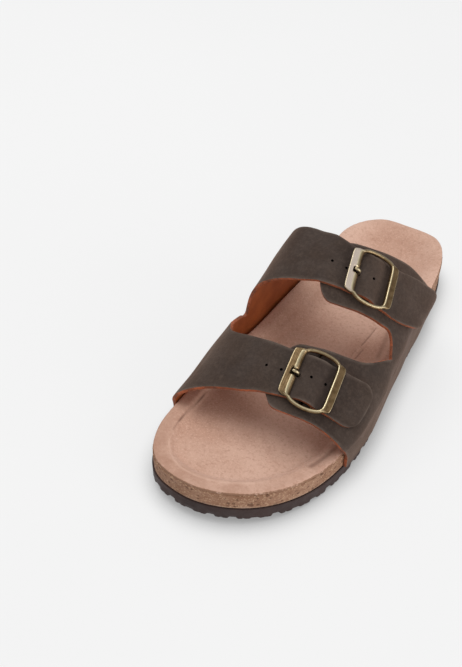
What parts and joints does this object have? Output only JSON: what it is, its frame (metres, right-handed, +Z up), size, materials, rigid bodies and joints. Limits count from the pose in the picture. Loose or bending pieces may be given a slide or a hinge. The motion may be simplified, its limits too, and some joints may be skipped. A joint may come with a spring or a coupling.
{
  "type": "buckle footbed sandal",
  "caption": "Open slip-on sandal for a left foot: contoured cork footbed with suede cover, notched rubber outsole and wide leather straps closed by brass buckles.",
  "frame": {"origin": "middle of the sandal's box on the floor", "axes": "+Z up, -Y to the toe, +X to the outer side of the left foot"},
  "size_m": [0.108, 0.281, 0.0946],
  "materials": {
    "rubber": "dull dark brown",
    "cork": "cut and sealed cork, speckled",
    "suede": "pale suede with a soft nap",
    "leather": "dark oiled nubuck",
    "brass": "antique brushed"
  },
  "bodies": {
    "root": {"outsole": "rubber", "midsole": "cork", "insole": "suede", "upper": "leather", "buckle_front": "brass", "buckle_rear": "brass", "prong_front": "brass", "prong_rear": "brass"}
  },
  "joints": []
}
